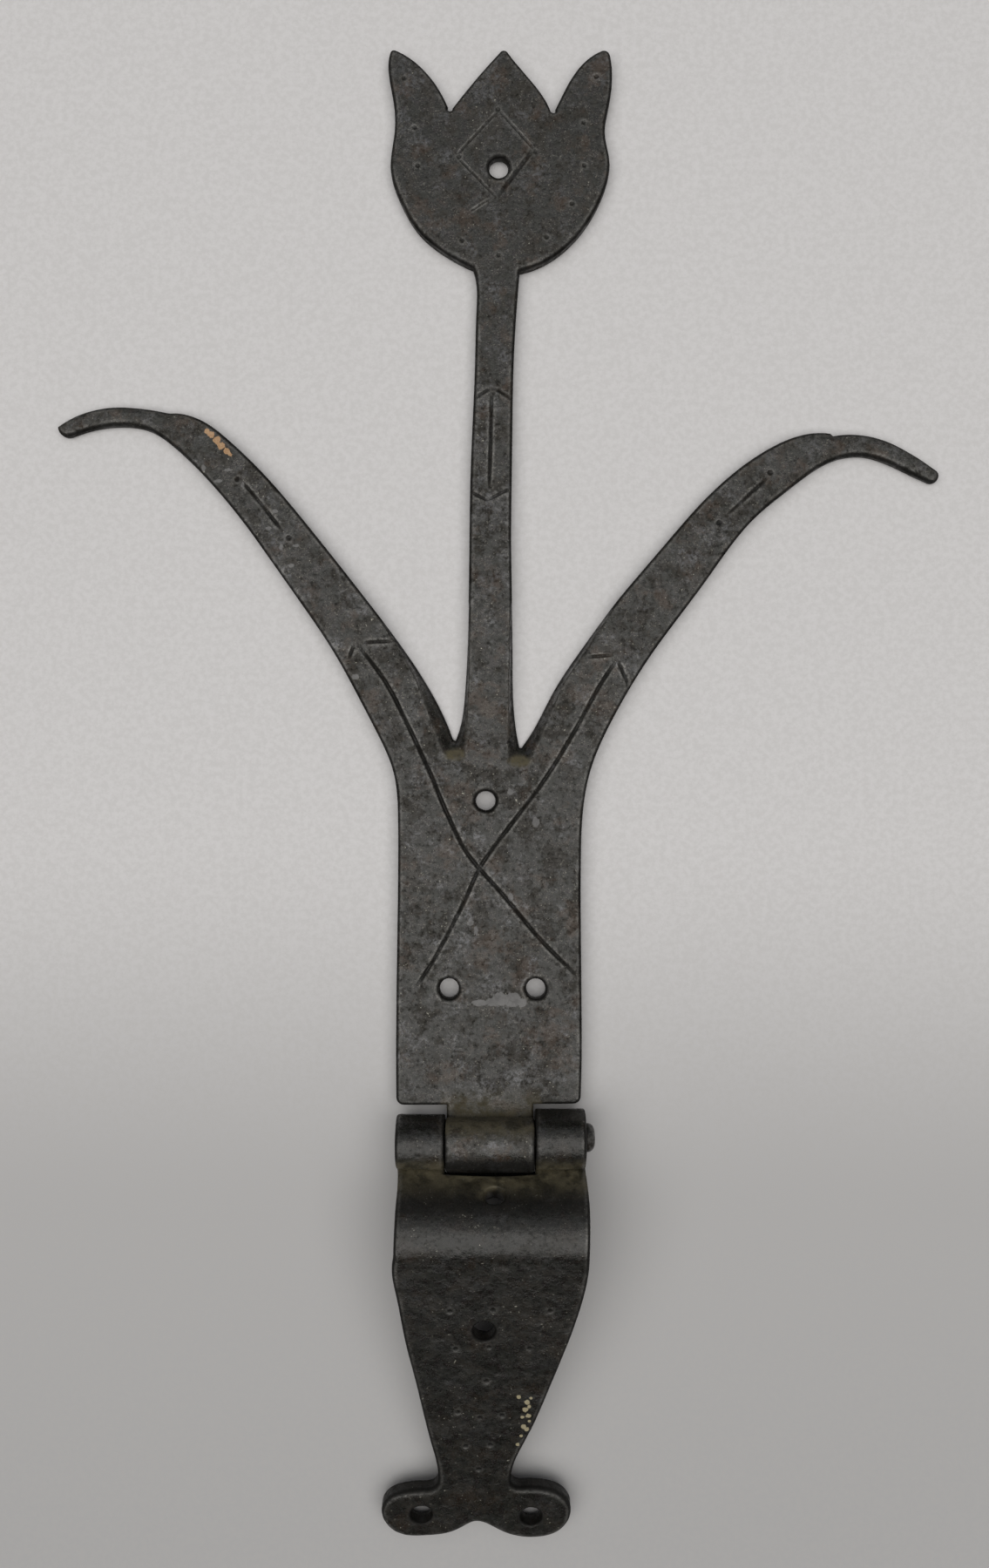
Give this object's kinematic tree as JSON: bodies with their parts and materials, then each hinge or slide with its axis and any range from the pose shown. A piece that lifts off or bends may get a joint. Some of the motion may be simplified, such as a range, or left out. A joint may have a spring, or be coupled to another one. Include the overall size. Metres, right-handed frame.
{
  "type": "strap hinge",
  "caption": "Hand-forged iron strap hinge with a tulip finial and two curling leaves on a long strap, a rolled barrel on a riveted pin, and a cranked over-the-edge leaf with a two-lobed foot.",
  "frame": {"origin": "on the back plane of the strap, straight under the middle of the hinge pin", "axes": "+X along the pin towards its riveted head, +Y along the strap towards the tulip, +Z out of the strap's front face"},
  "size_m": [0.2489, 0.4185, 0.0282],
  "materials": {
    "strap_iron": "dark waxed wrought iron",
    "leaf_iron": "dark waxed wrought iron",
    "pin_iron": "dark worn iron"
  },
  "bodies": {
    "strap": {"tulip_strap": "strap_iron"},
    "leaf": {"cranked_leaf": "leaf_iron", "hinge_pin": "pin_iron"}
  },
  "joints": [
    {"name": "barrel_hinge", "type": "hinge", "parent": "strap", "child": "leaf", "pos_m": [0, 0, 0.0086], "axis": [-1, 0, 0], "range_deg": [-91, 138]}
  ]
}
